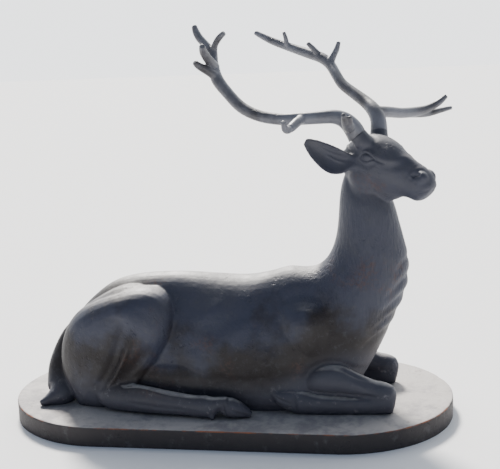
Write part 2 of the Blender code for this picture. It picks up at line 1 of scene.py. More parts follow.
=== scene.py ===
# %% [markdown]
# Cast iron stag: the looks
#
# The imported model is the frame: four solids, the plinth, the stag and its two antlers. This
# lesson gives each a detailed mesh over the same form, then dusty, rusty, dark iron, with painted
# sunlight on its tops and painted shade low on its body, and last the light and the camera of the
# photograph.

import math

import bmesh
import bpy
import numpy as np
from mathutils import Matrix, Quaternion, Vector, noise


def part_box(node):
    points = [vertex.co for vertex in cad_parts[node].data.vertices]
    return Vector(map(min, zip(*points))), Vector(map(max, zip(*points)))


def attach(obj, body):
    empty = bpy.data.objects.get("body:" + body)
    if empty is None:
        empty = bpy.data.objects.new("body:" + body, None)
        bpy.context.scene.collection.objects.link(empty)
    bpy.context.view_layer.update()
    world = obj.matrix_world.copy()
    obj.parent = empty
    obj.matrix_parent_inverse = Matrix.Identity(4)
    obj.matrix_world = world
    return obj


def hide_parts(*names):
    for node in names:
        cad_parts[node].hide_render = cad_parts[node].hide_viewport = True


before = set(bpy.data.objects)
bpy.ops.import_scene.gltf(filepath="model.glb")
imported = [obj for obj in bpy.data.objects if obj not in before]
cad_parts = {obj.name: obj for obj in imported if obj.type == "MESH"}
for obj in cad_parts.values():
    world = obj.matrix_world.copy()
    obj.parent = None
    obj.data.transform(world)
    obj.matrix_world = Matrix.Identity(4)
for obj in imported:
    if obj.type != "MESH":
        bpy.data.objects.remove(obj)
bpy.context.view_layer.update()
print("solids:", sorted(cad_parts))

# %% [markdown]
# The sculptor's grid
#
# A figure like this is enlarged from a small model with a squared grid. The same idea works
# here: a grid of 146 squares just spans the stag with its head straight, and every form is
# placed in squares. The scale comes from the frame, so the figure fits its plinth at any size.

# %% Sizes
plinth_low, plinth_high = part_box("plinth")
PLINTH_LENGTH = plinth_high.x - plinth_low.x
PLINTH_WIDTH = plinth_high.y - plinth_low.y
PLINTH_HEIGHT = plinth_high.z
REAL_PLINTH_LENGTH = 1.60
REAL_STAG_LENGTH = 1.46
STAG_LENGTH = PLINTH_LENGTH * REAL_STAG_LENGTH / REAL_PLINTH_LENGTH
STAG_OFFSET = -0.04
GRID_SQUARES = 146
GRID = STAG_LENGTH / GRID_SQUARES
SEAT_GAP = 0.0003
HEAD_TURN = math.radians(-30)
TURN_AXIS_X = 50
TURN_STARTS_Z = 46
TURN_ENDS_Z = 72
SIDES = (-1, 1)
print("one square of the grid:", round(GRID * 1000, 2), "mm")

# %% [markdown]
# Skins
#
# A limb is a row of rings joined by a skin. In the editor one would extrude a circle again and
# again and scale each new ring. The code does just that: it starts from a capped circle,
# extrudes the cap and moves its corners onto the next ring. A smooth curve through the few
# given rings supplies those in between.

# %% Curve and skin helpers
def spline_rows(rows, steps):
    """A smooth curve through rows of numbers, with this many steps between two of them."""
    rows = np.array(rows, float)
    ends = np.vstack([2 * rows[0] - rows[1], rows, 2 * rows[-1] - rows[-2]])
    out = []
    for a, b, c, d in zip(ends, ends[1:], ends[2:], ends[3:]):
        for t in np.arange(steps) / steps:
            out.append(
                0.5 * (2 * b + (c - a) * t + (2 * a - 5 * b + 4 * c - d) * t**2)
                + 0.5 * (3 * b - a - 3 * c + d) * t**3
            )
    out.append(rows[-1])
    return np.array(out)


def skin(bm, rings):
    """Extrudes a capped polygon from ring to ring, which makes one closed tube."""
    spokes = len(rings[0])
    spoke = bm.verts.layers.int.get("spoke") or bm.verts.layers.int.new("spoke")
    circle = bmesh.ops.create_circle(bm, cap_ends=True, segments=spokes, radius=1)
    cap = circle["verts"][0].link_faces[0]
    for number, corner in enumerate(cap.verts):
        corner[spoke] = number
        corner.co = rings[0][number]
    for ring in rings[1:]:
        grown = bmesh.ops.extrude_face_region(bm, geom=[cap])["geom"]
        cap = next(part for part in grown if isinstance(part, bmesh.types.BMFace))
        for corner in cap.verts:
            corner.co = ring[corner[spoke]]


def section(centre, up, side, egg=0.0, spokes=56):
    """One ring: an ellipse on two half-axes, and egg above 0 makes its lower side wider."""
    ring = []
    for turn in np.arange(spokes) * 2 * math.pi / spokes:
        rise = math.sin(turn)
        ring.append(Vector(centre + up * rise + side * math.cos(turn) * (1 - egg * rise)))
    return ring


def profile_loft(bm, stations, steps=4):
    """Skins sections given as back (x, z), belly (x, z), half-width and egg."""
    rings = []
    for back_x, back_z, belly_x, belly_z, half, egg in spline_rows(stations, steps):
        back = np.array([back_x, 0, back_z])
        belly = np.array([belly_x, 0, belly_z])
        rings.append(
            section((back + belly) / 2, (back - belly) / 2, np.array([0, half, 0]), egg)
        )
    skin(bm, rings)


def limb(bm, stations, mirror=1, steps=4, spokes=24, up=(0, 0, 1)):
    """Skins an elliptical limb along stations of x, y, z, half-width and half-height."""
    rows = spline_rows(stations, steps)
    rows[:, 1] *= mirror
    along = np.gradient(rows[:, :3], axis=0)
    rings = []
    for row, way in zip(rows, along):
        way = way / np.linalg.norm(way)
        side = np.cross(np.array(up, float), way)
        side /= np.linalg.norm(side)
        rise = np.cross(way, side)
        rings.append(section(row[:3], rise * row[4], side * row[3], spokes=spokes))
    skin(bm, rings)


def ball(bm, centre, radii, mirror=1):
    """An ellipsoid."""
    place = Matrix.Translation((centre[0], centre[1] * mirror, centre[2]))
    bmesh.ops.create_icosphere(
        bm, subdivisions=3, radius=1, matrix=place @ Matrix.Diagonal((*radii, 1))
    )


DOME_TURNS = np.radians([-30, 0, 15, 30, 45, 58, 70, 80, 86])
REAR_REACH = 30
TOP_REACH = 15
FRONT_REACH = 12


def pad(bm, outline, mirror, inner, outer, rear_hug=0, top_hug=0, front_hug=0, edge=0.4):
    """A cushion of muscle on the flank: an outline in x and z that domes from inner to
    outer, with its rear, its top and its front drawn in towards the body. A higher edge
    makes its rim less steep."""
    outline = spline_rows([*outline, outline[0]], 3)[:-1]
    middle = outline.mean(axis=0)
    rear_from = outline[:, 0].max() - np.ptp(outline[:, 0]) / 3
    top_from = outline[:, 1].max() - TOP_REACH
    rings = []
    for turn in DOME_TURNS:
        share = math.cos(max(turn, 0)) ** edge
        ring = []
        for x, z in middle + (outline - middle) * share:
            reach = inner + (outer - inner) * math.sin(turn)
            reach -= rear_hug * max(0, (rear_from - x) / REAR_REACH) ** 2
            reach -= top_hug * max(0, (z - top_from) / TOP_REACH) ** 2
            reach -= front_hug * max(0, (x - middle[0]) / FRONT_REACH) ** 2
            ring.append(Vector((x, max(reach, 0) * mirror, z)))
        rings.append(ring)
    skin(bm, rings)


# %% [markdown]
# Trunk, neck and head
#
# One loft runs from the rump along the back and up the neck, and a second makes the head from
# the skull to the lips. Each section is given by the place of its back, the place of its belly
# and its half-width, which is how a sculptor reads a side view and a front view. The head is
# modelled looking straight on, and turned later with the neck.

# %% Trunk, neck and head
TRUNK = [
    (-61, 17, -60, 6, 4, 0),
    (-58.5, 23, -57, 0, 10, 0.05),
    (-54, 30.8, -53, -2, 13.5, 0.1),
    (-48, 37, -46, -2, 15.5, 0.12),
    (-39.7, 42.6, -38, -2, 16, 0.15),
    (-29, 45.2, -28, -2, 16, 0.18),
    (-15, 45.8, -15, -2, 16.2, 0.2),
    (-4, 45.2, -2, -2, 18, 0.2),
    (8, 44.6, 10, -2, 18.8, 0.18),
    (16.5, 45.8, 22, -2, 17.8, 0.15),
    (23.5, 47.6, 33, -2, 16.8, 0.12),
    (29, 47.4, 44, 2, 15.5, 0.08),
    (33.4, 48, 52, 14, 14.2, 0.05),
    (36.6, 50.4, 58.2, 26.5, 13, 0),
    (38.8, 54, 63.9, 39, 11.6, 0),
    (40.2, 58.4, 65.1, 49, 10.3, 0),
    (40.9, 63, 63.7, 57, 9.3, 0),
    (41.2, 67.3, 62.6, 62.5, 8.6, 0),
    (41.5, 71.6, 61.4, 68, 8, 0),
    (42.2, 76, 60, 72, 7.3, 0),
    (44, 81, 58, 76, 6.4, 0),
]
HEAD = [
    (43.0, 85, 46, 78, 4.5, 0),
    (45.2, 90, 49, 73.5, 6.4, -0.05),
    (50.5, 93.0, 53.5, 71, 7.2, -0.12),
    (57, 93.2, 58.5, 70.8, 7.5, -0.26),
    (62, 91.2, 62.5, 71.8, 6.6, -0.28),
    (66.3, 87.8, 65.5, 73, 5.1, -0.14),
    (70.5, 85.1, 68, 72.8, 4.3, 0),
    (74, 83, 70.8, 72.0, 4.1, 0.05),
    (76.1, 81, 73.3, 72.6, 3.8, 0.05),
    (77.1, 78.6, 75.3, 74.2, 2.9, 0),
    (77.2, 77.2, 76.2, 75.5, 1.8, 0),
]
# Antler seats: radius, and the middle and facing of each, outward counted plus.
SEAT_RADIUS = 3.1
RIGHT_SEAT = ((52.3, 6.1, 93.5), (-0.55, 0.25, 0.79))
LEFT_SEAT = ((52.6, 6.1, 93.6), (-0.25, 0.35, 0.9))
# Bony stump under a seat: place along the seat's facing, and width as a share of the radius.
STUMP = [(-6, 0.9), (-3, 1.02), (-1, 0.97), (1.5, 0.95)]


def add_head(bm):
    profile_loft(bm, HEAD)
    for mirror, (middle, way) in zip(SIDES, (RIGHT_SEAT, LEFT_SEAT)):
        ball(bm, (56.2, 5.3, 86.8), (4.4, 2.5, 3.3), mirror)
        ball(bm, (58.4, 4.4, 88.8), (4.8, 1.7, 1.3), mirror)
        ball(bm, (54.8, 5.4, 90), (2.6, 1.6, 1.5), mirror)
        ball(bm, (53.0, 4.4, 79.5), (6.5, 3.2, 6.5), mirror)
        ball(bm, (73.4, 2.4, 79.8), (2.9, 2.1, 2.6), mirror)
        middle, way = np.array(middle), np.array(way)
        stump = []
        for place, share in STUMP:
            radius = SEAT_RADIUS * share
            stump.append((*(middle + way * place), radius, radius))
        limb(bm, stump, mirror, up=(1, 0, 0))


# %% [markdown]
# Legs
#
# The haunch and the shoulder are cushions that bulge from the flank. The legs are folded as a
# resting deer folds them: the hind shin lies flat on the plinth, and the fore shin is tucked
# back under the forearm. Each is a limb with its own stations, and the same code makes the
# far side with Y turned round.

# %% Legs
HAUNCH_RISE = 44


def add_hind_leg(bm, mirror, drop):
    """Haunch, shank to the hock, then shin and hoof along the plinth. The drop lowers the top
    of the haunch."""
    haunch = [
        (-53, -2),
        (-57.6, 6),
        (-59.4, 13.5),
        (-58.8, 21),
        (-56, 28),
        (-51.5, 33.4),
        (-45, 37.4),
        (-38, 40.2),
        (-31, 42.2),
        (-26, 42.8),
        (-21.8, 41.9),
        (-18.3, 39.6),
        (-16.3, 36),
        (-15.5, 31.5),
        (-16, 27),
        (-18, 22.5),
        (-21, 17.5),
        (-25, 12.5),
        (-29.5, 8),
        (-36, 3),
        (-43, -2),
    ]
    low = [(x, z - drop * max(0, z) / HAUNCH_RISE) for x, z in haunch]
    pad(bm, low, mirror, 12, 21, rear_hug=5)
    rump = [(-24, 7, 31), (-31, 8, 35), (-38.4, 8.5, 32.4), (-44.7, 8.5, 27.8), (-50.8, 8.5, 17)]
    limb(bm, [(x, y, z - drop * z / HAUNCH_RISE, 8, 8) for x, y, z in rump], mirror)
    belly = [(-34, 8, 8.5), (-20, 10, 9.5), (-5, 10.5, 9), (15, 10.5, 8.5), (30, 8.5, 8.5)]
    limb(bm, [(*place, 8, 11.5) for place in belly], mirror)
    limb(
        bm,
        [
            (-26, 12, 20, 4.0, 6.5),
            (-31, 14.4, 14, 3.8, 5.6),
            (-35, 16.6, 9, 3.2, 4.6),
            (-38.5, 17.8, 4.5, 3.0, 3.8),
        ],
        mirror,
        up=(1, 0, 0.6),
    )
    limb(
        bm,
        [
            (-42.6, 17.4, 3.6, 1.6, 2.2),
            (-40.6, 18, 4.8, 2.8, 4.4),
            (-35, 19.2, 5.2, 3.2, 5.0),
            (-27, 20.8, 5.3, 3.2, 5.0),
            (-16, 22.2, 4.6, 3.0, 4.2),
            (-8, 23, 4.1, 2.9, 3.8),
            (-3, 23.4, 4.0, 3.1, 4.0),
            (-0.8, 23.5, 4.6, 2.9, 3.3),
            (1.2, 23.4, 5.4, 2.4, 2.2),
            (4, 23.2, 5.4, 2.4, 2.2),
        ],
        mirror,
    )
    limb(
        bm,
        [
            (2.2, 23.2, 5.2, 2.3, 2.2),
            (4.2, 22.9, 4.0, 2.9, 3.4),
            (7.5, 22.5, 2.9, 3.0, 2.9),
            (10, 22.2, 1.9, 2.2, 1.9),
            (12, 22, 1.0, 1.0, 0.8),
        ],
        mirror,
    )
    limb(
        bm,
        [(-2.2, 24.4, 3.0, 1.4, 1.4), (-1.2, 25.2, 1.4, 1.1, 1.1), (-0.6, 25.6, 0.2, 0.7, 0.7)],
        mirror,
        up=(1, 0, 0),
    )


def add_fore_leg(bm, mirror):
    """Shoulder, forearm to the knee, then the shin folded back under it, and the hoof."""
    shoulder = [
        (18.5, 36.5),
        (21.5, 41.5),
        (27, 43.5),
        (34, 43),
        (39, 40),
        (41.4, 34),
        (42, 26),
        (40, 17),
        (33, 11),
        (25, 14),
        (21.5, 21),
        (18.5, 29),
    ]
    pad(bm, shoulder, mirror, 9, 17.5, top_hug=7, front_hug=1.5, edge=0.8)
    limb(
        bm,
        [
            (30.5, 12, 10, 3.6, 4.6),
            (35, 14, 11.4, 4.8, 5.4),
            (40.5, 14.8, 11.5, 4.6, 5.2),
            (46.5, 15, 9.9, 3.9, 4.2),
            (52.2, 15, 8, 3.5, 3.7),
            (55.6, 15, 7, 3.7, 4),
            (58.4, 15, 6.1, 3.3, 3.6),
            (59.8, 15, 5.6, 2.0, 2.2),
        ],
        mirror,
    )
    limb(
        bm,
        [
            (60.4, 15, 4.4, 1.6, 2.2),
            (59.4, 15, 4.5, 3.0, 4.2),
            (56.4, 15, 4.2, 3.6, 4.6),
            (50, 15.5, 3.1, 3.2, 3.6),
            (36, 16.5, 3.2, 3.0, 3.7),
            (29, 17, 3.7, 3.1, 4.0),
            (25.8, 17, 4.3, 2.8, 3.8),
            (23, 17, 5.2, 2.8, 3.3),
            (20.5, 17, 6.4, 2.3, 2.2),
            (18.8, 17, 7.3, 1.3, 1.1),
        ],
        mirror,
    )
    limb(
        bm,
        [(22, 16, 7.4, 2.0, 1.8), (20.2, 16.6, 9, 1.3, 1.3), (18.8, 17, 9.4, 0.8, 0.7)],
        mirror,
        up=(1, 0, 1),
    )


# %% [markdown]
# Tail and ears
#
# The tail hangs down and bends along the plinth, so it is a limb too. An ear is a leaf of iron:
# its sections are flat, with a wall of their own, and bent hollow towards the viewer. A leaf
# with a wall was chosen over a bare sheet, because only a closed form fuses with the head.

# %% Tail and ears
EAR_ROOT = (50.8, 6.6, 84.9)
NEAR_EAR_TIP = (38.2, 15.8, 93.1)
FAR_EAR_TIP = (41, 18.5, 86)
EAR_FACING = (0.62, 0.76, 0.15)
EAR_CORNERS = 28


def add_tail(bm):
    limb(
        bm,
        [
            (-52, 0, 28, 3, 3),
            (-57, -0.8, 22, 4, 4.2),
            (-59.6, -2.4, 16, 4.8, 4.9),
            (-60.6, -4.4, 10.5, 5.4, 5.6),
            (-59.8, -7.5, 5.6, 5.4, 6),
            (-59.8, -11.5, 3.2, 4.8, 5),
            (-63, -14.8, 1.9, 2.6, 2.2),
            (-65.8, -16.8, 1.1, 1.1, 1),
        ],
        up=(-1, 0, 0.5),
    )


def add_ear(bm, mirror, tip):
    """A leaf-shaped ear with a full lower edge, hollow on the side that it faces."""
    root, tip = np.array(EAR_ROOT, float), np.array(tip, float)
    length = np.linalg.norm(tip - root)
    along = (tip - root) / length
    across = np.cross(along, np.array(EAR_FACING, float))
    across /= np.linalg.norm(across)
    outward = np.cross(across, along)
    # Share of the length, middle below the line to the tip, half-width, wall and hollow.
    leaf = [
        (-0.12, 0.2, 1.9, 1.8, 0),
        (0, 0.7, 2.5, 1.6, 0.2),
        (0.1, 1.9, 3.6, 1.2, 1.0),
        (0.28, 2.7, 4.5, 0.9, 2.0),
        (0.5, 2.6, 4.4, 0.85, 2.2),
        (0.75, 2.0, 3.3, 0.85, 1.5),
        (0.9, 1.5, 2.2, 0.8, 0.7),
        (1, 1.1, 1.2, 0.7, 0.1),
    ]
    rings = []
    for share, drop, half, wall, hollow in spline_rows(leaf, 3):
        ring = []
        for turn in np.arange(EAR_CORNERS) * 2 * math.pi / EAR_CORNERS:
            edge = math.cos(turn)
            rise = wall * math.copysign(abs(math.sin(turn)) ** 0.4, math.sin(turn))
            depth = rise - hollow * (1 - edge**2)
            point = root + along * length * share
            point += across * (drop + half * edge) + outward * depth
            ring.append(Vector((point[0], point[1] * mirror, point[2])))
        rings.append(ring)
    skin(bm, rings)


# %% [markdown]
# From shells to one casting
#
# The shells overlap. A voxel remesh welds them into one closed skin, as wax joins to wax, and a
# few rounds of smoothing ease the junctions. Then the turn of the neck is a rotation about an
# upright axis that grows with height.

# %% Remesh, turn and place
STAG_VOXEL = 0.0042
ANTLER_VOXEL = 0.0028
STAG_SMOOTHING = 6
ANTLER_SMOOTHING = 3


def new_object(name, bm):
    bmesh.ops.recalc_face_normals(bm, faces=bm.faces)
    mesh = bpy.data.meshes.new(name)
    bm.to_mesh(mesh)
    bm.free()
    made = bpy.data.objects.new(name, mesh)
    bpy.context.scene.collection.objects.link(made)
    return made


def applied(made):
    """Bakes an object's modifiers into its mesh."""
    graph = bpy.context.evaluated_depsgraph_get()
    mesh = bpy.data.meshes.new_from_object(made.evaluated_get(graph))
    made.modifiers.clear()
    made.data = mesh


def fused(name, bm, voxel, smoothing):
    """Overlapping shells made one closed skin, with their junctions eased."""
    bmesh.ops.scale(bm, vec=(GRID,) * 3, verts=bm.verts)
    made = new_object(name, bm)
    union = made.modifiers.new("union", "REMESH")
    union.mode = "VOXEL"
    union.voxel_size = voxel
    blend = made.modifiers.new("blend", "SMOOTH")
    blend.factor = 0.5
    blend.iterations = smoothing
    applied(made)
    return made


def thinned(made, triangles):
    """Thins a mesh to this many triangles where it has more."""
    if 2 * len(made.data.polygons) > triangles:
        thin = made.modifiers.new("thin", "DECIMATE")
        thin.ratio = triangles / (2 * len(made.data.polygons))
        applied(made)


def turned(points):
    """Turns neck and head about an upright axis, more with height, as the stag looks round."""
    points = np.array(points, float)
    rise = np.clip((points[:, 2] - TURN_STARTS_Z) / (TURN_ENDS_Z - TURN_STARTS_Z), 0, 1)
    angle = HEAD_TURN * rise * rise * (3 - 2 * rise)
    x, y = points[:, 0] - TURN_AXIS_X, points[:, 1].copy()
    points[:, 0] = TURN_AXIS_X + x * np.cos(angle) - y * np.sin(angle)
    points[:, 1] = x * np.sin(angle) + y * np.cos(angle)
    return points


def placed(points):
    """From the modeller's grid to its place on the plinth, in metres."""
    points = points * GRID
    points[:, 1] += STAG_OFFSET
    points[:, 2] += PLINTH_HEIGHT
    return points


def seat_plane(seat, mirror):
    """Middle and facing of an antler's seat, on the plinth and in metres."""
    middle, way = np.array(seat, float)
    ends = np.array([middle, middle + way])
    ends[:, 1] *= mirror
    low, high = placed(turned(ends))
    return low, (high - low) / np.linalg.norm(high - low)


# %% [markdown]
# Moving corners and cutting seats
#
# Carving and turning move every corner of a mesh. That is quickest on plain arrays, so the
# corners are read into one, moved and written back. Where one casting meets another, the real
# founder files a flat seat, and here a plane cuts the mesh and the hole is filled.

# %% Moving corners and cutting seats
def read_points(mesh):
    points = np.empty(len(mesh.vertices) * 3, np.float32)
    mesh.vertices.foreach_get("co", points)
    return points.reshape(-1, 3).astype(float)


def read_normals(mesh):
    normals = np.empty(len(mesh.vertices) * 3, np.float32)
    mesh.vertex_normals.foreach_get("vector", normals)
    return normals.reshape(-1, 3).astype(float)


def write_points(mesh, points):
    mesh.vertices.foreach_set("co", points.astype(np.float32).ravel())
    mesh.update()


def cut_flat(mesh, middle, way, reach=math.inf):
    """Cuts away what lies beyond a plane, within reach of its middle, and closes the cut."""
    bm = bmesh.new()
    bm.from_mesh(mesh)
    middle, way = Vector(middle), Vector(way)
    faces = [f for f in bm.faces if (f.calc_center_median() - middle).length < reach]
    edges = {edge for face in faces for edge in face.edges}
    corners = {corner for face in faces for corner in face.verts}
    cut = bmesh.ops.bisect_plane(
        bm,
        geom=[*corners, *edges, *faces],
        plane_co=middle,
        plane_no=way,
        clear_outer=True,
    )
    rim = [part for part in cut["geom_cut"] if isinstance(part, bmesh.types.BMEdge)]
    bmesh.ops.edgenet_fill(bm, edges=rim)
    bmesh.ops.recalc_face_normals(bm, faces=bm.faces)
    bm.to_mesh(mesh)
    bm.free()


# %% [markdown]
# Carving
#
# Creases, tendons, ribs, lids and lips are lines drawn on the side view. Each pushes the skin
# in or out along its normal, most on the line and fading within its width, like a modelling
# tool drawn through clay. The head's faces are divided once more first, so that fine lines hold.

# %% Carving lines
BODY_LINES = [
    # Tendon above the hock, with a hollow on each side.
    (1.2, 1.0, [(-28.5, 29), (-31, 22.5), (-33.5, 17), (-37, 11.5), (-41.5, 6.5)]),
    (-1.6, 2.2, [(-31.5, 34), (-33.6, 26), (-36.2, 18.5), (-39.5, 12.5), (-44, 7)]),
    (-1.4, 2.8, [(-23, 25), (-26.5, 19), (-30.5, 14), (-34, 10)]),
    # Muscle that crosses the thigh to the stifle.
    (0.6, 3.2, [(-38, 39), (-29, 34), (-18, 27)]),
    # Fold of the flank below the thigh.
    (0.5, 2.6, [(-9, 22), (-6, 15), (-2, 9)]),
    # Ribs and flank.
    (0.6, 2.4, [(-8, 30), (-3, 34.5), (3, 37.5)]),
    (-0.4, 2.4, [(-3, 27.5), (3, 31), (8, 35.5)]),
    (0.4, 2.4, [(4, 26), (9, 30), (13, 35)]),
    # Rear edge of the shoulder, the hollow behind the elbow, its front edge, its middle, its
    # upper slope, and the edge of the forearm.
    (-0.45, 3.2, [(17, 44), (19, 37), (22, 31.5), (20.5, 27), (17, 22)]),
    (-0.4, 3.4, [(14, 26), (19, 23), (24, 19)]),
    (-0.4, 3.4, [(36, 48), (40.5, 39), (42, 31), (43, 22)]),
    (0.3, 4.0, [(30, 40), (34, 31), (36, 21)]),
    (-1.0, 2.8, [(22, 37), (30, 38.6), (38, 37)]),
    (-0.7, 1.2, [(28.6, 9), (31.4, 14.2), (36.4, 17.4), (42, 17), (47, 13.8), (52.4, 11.4)]),
    # Legs: the crease between forearm and shin, and the edge and the tendon of each shin.
    (-1.0, 0.8, [(30, 8), (38, 7.2), (47, 6.8), (55, 6.8)]),
    (0.35, 0.6, [(-33, 9.2), (-26, 9.4), (-16, 7.6), (-7, 6.8)]),
    (-0.35, 0.7, [(-33, 5), (-20, 3.8), (-6, 3.2)]),
    (0.3, 0.6, [(30, 5.6), (40, 5), (52, 5)]),
    # Hooves.
    (-0.5, 0.45, [(2.8, 6.6), (3.2, 3.6), (2.9, 0.6)]),
    (-0.45, 0.4, [(4.5, 4.4), (8.5, 2.4), (11.6, 1.2)]),
    (-0.5, 0.5, [(27.2, 8.2), (26.6, 4.5), (27.2, 1)]),
    (-0.45, 0.4, [(25.5, 4.2), (22, 5.4), (19.3, 6.6)]),
]
# Waves of the mane, which run right round the front of the neck.
MANE_LINES = [
    (-0.4, 1.2, [(72, 57), (65, 51.5), (60, 46)]),
    (-0.6, 1.3, [(71, 49.5), (63.5, 44), (57, 38)]),
    (-0.7, 1.3, [(69, 42.5), (61, 37), (54, 31)]),
    (-0.6, 1.2, [(65, 35), (57.5, 30.5), (51, 26)]),
    (-0.5, 1.1, [(60, 28.5), (53.5, 24.5), (48, 21)]),
]
FACE_LINES = [
    # Eye: hollows above and below, ball, lids and the corner towards the nose.
    (-0.4, 0.9, [(52, 86.8), (54, 89), (57, 89.7), (60.6, 88)]),
    (-0.35, 0.9, [(52, 86), (54.4, 84), (57.2, 83.8), (60, 85)]),
    (0.4, 0.8, [(54.8, 86.5), (56.1, 86.7), (57.5, 86.5)]),
    (0.35, 0.4, [(52.8, 86.3), (54.3, 88), (56.4, 88.6), (58.8, 87.3), (60, 85.9)]),
    (0.22, 0.4, [(53, 86.2), (54.8, 85), (56.6, 84.7), (58.6, 85.4), (60, 86)]),
    (-0.36, 0.38, [(53.2, 86.4), (54.7, 87.5), (56.4, 87.9), (58.2, 87), (59.6, 86)]),
    (-0.22, 0.35, [(53.4, 86.3), (55, 85.5), (56.6, 85.4), (58.4, 85.8), (59.6, 86)]),
    (-0.4, 0.5, [(58.4, 86.3), (60.4, 85.5), (63, 84.6)]),
    # Ridge from the eye along the nose, and the hollow cheek under it.
    (0.25, 1.1, [(58.5, 88), (61, 86.4), (63, 85.8), (65.5, 85.8), (68, 86.8), (70, 88.4)]),
    (-0.25, 1.4, [(60.5, 84.6), (64, 83.6), (67.5, 84), (71, 84)]),
    (0.3, 1.8, [(55, 82), (61, 80), (67, 78)]),
    (0.35, 1.8, [(53.5, 75.8), (50.8, 80.2), (51.6, 84.6)]),
    (-0.35, 1.4, [(47.4, 87), (47.2, 80), (49.5, 75), (55, 71.6)]),
    # Nostril with its rim, the edge of the muzzle, the mouth and the lower lip.
    (-0.85, 0.7, [(71.2, 80.2), (72.6, 81.2), (74.4, 81.2)]),
    (0.2, 0.6, [(70.4, 80), (71.4, 82.4), (74.4, 83.2)]),
    (0.3, 0.7, [(71.2, 78.8), (73, 78.8), (75, 79.2)]),
    (-0.25, 0.9, [(69.8, 83.4), (69, 80.4), (69.4, 76)]),
    (-0.35, 0.45, [(80, 77.4), (76.6, 76.2), (74, 75.4), (71, 75)]),
    # Ridges inside the ear.
    (0.3, 0.4, [(49.6, 87.8), (45, 89.8), (40, 92)]),
    (0.3, 0.4, [(49.4, 86), (45, 87.6), (41, 90)]),
    (0.25, 0.4, [(49, 84.2), (45.4, 85.4), (42.6, 87.4)]),
]


print("carved lines:", len(BODY_LINES + MANE_LINES + FACE_LINES))

# %% [markdown]
# The carving tool
#
# A brush in the editor does the same work by hand. A line in the script can be moved and drawn
# again, and both flanks are carved at once. It works on the stag's side view, so it fades
# where the skin turns away from the viewer.

# %% Carving tool
def stroke(points, line, width):
    """How strongly a tool drawn along a line presses each point: most on the line, and
    less towards its two ends."""
    nearest = np.full(len(points), np.inf)
    walked = np.zeros(len(points))
    for number, (start, end) in enumerate(zip(line, line[1:])):
        way = end - start
        share = np.clip((points - start) @ way / (way @ way), 0, 1)
        gap = np.linalg.norm(points - start - share[:, None] * way, axis=1)
        closer = gap < nearest
        nearest[closer] = gap[closer]
        walked[closer] = (number + share[closer]) / (len(line) - 1)
    return np.exp(-((nearest / width) ** 2)) * np.sin(np.pi * walked) ** 0.7


def carve(mesh, lines, sides=SIDES):
    """Presses lines drawn on the side view into the flanks, or raises them. Without a
    side, they go right round."""
    points, normals = read_points(mesh), read_normals(mesh)
    grid = points[:, [0, 2]] / GRID
    shift = np.zeros(len(points))
    for depth, width, line in lines:
        line = spline_rows(line, 3)
        near = np.all((grid > line.min(0) - 3 * width) & (grid < line.max(0) + 3 * width), axis=1)
        fall = stroke(grid[near], line, width)
        for side in sides:
            outward = np.clip(normals[near, 1] * side * 2.5 - 0.3, 0, 1) if side else 1
            shift[near] += depth * fall * outward * (points[near, 1] * side >= 0)
    write_points(mesh, points + normals * shift[:, None] * GRID)


def refine(mesh, low):
    """Divides the faces above and ahead of a corner on the grid, for finer carving."""
    bm = bmesh.new()
    bm.from_mesh(mesh)
    edges = set()
    for face in bm.faces:
        middle = face.calc_center_median() / GRID
        if middle.x > low[0] and middle.z > low[1]:
            edges.update(face.edges)
    bmesh.ops.subdivide_edges(bm, edges=list(edges), cuts=1, use_grid_fill=True)
    bm.to_mesh(mesh)
    bm.free()


# %% [markdown]
# The whole stag
#
# All shells are fused first, then carved, because the lines are drawn for a stag that looks
# straight on. The turn of the neck comes next. Last the mesh is thinned a little and cut flat
# at the plinth and at the two seats, just clear of what it rests on.

# %% The stag
STAG_TRIANGLES = 195000
HEAD_FROM = (42, 72)
FAR_HAUNCH_DROP = 5
SEAT_CUT_REACH = 1.5


def build_stag():
    bm = bmesh.new()
    profile_loft(bm, TRUNK)
    add_head(bm)
    add_hind_leg(bm, -1, drop=0)
    add_hind_leg(bm, 1, drop=FAR_HAUNCH_DROP)
    for mirror in SIDES:
        add_fore_leg(bm, mirror)
    add_tail(bm)
    add_ear(bm, -1, NEAR_EAR_TIP)
    add_ear(bm, 1, FAR_EAR_TIP)
    stag = fused("stag_cast", bm, STAG_VOXEL, STAG_SMOOTHING)
    carve(stag.data, BODY_LINES)
    carve(stag.data, MANE_LINES, sides=[0])
    refine(stag.data, HEAD_FROM)
    carve(stag.data, FACE_LINES)
    write_points(stag.data, placed(turned(read_points(stag.data) / GRID)))
    thinned(stag, STAG_TRIANGLES)
    cut_flat(stag.data, (0, 0, PLINTH_HEIGHT + SEAT_GAP), (0, 0, -1))
    for mirror, seat in zip(SIDES, (RIGHT_SEAT, LEFT_SEAT)):
        cut_flat(stag.data, *seat_plane(seat, mirror), reach=SEAT_CUT_REACH * SEAT_RADIUS * GRID)
    stag.data.shade_smooth()
    return stag


stag_cast = build_stag()
print("stag faces:", len(stag_cast.data.polygons))

# %% [markdown]
# Antlers
#
# Each antler is a beam with tines, again limbs fused by a fine remesh. Their foot is cut at the
# seat on the skull. The right antler is the near one, whose brow tine points at the viewer.

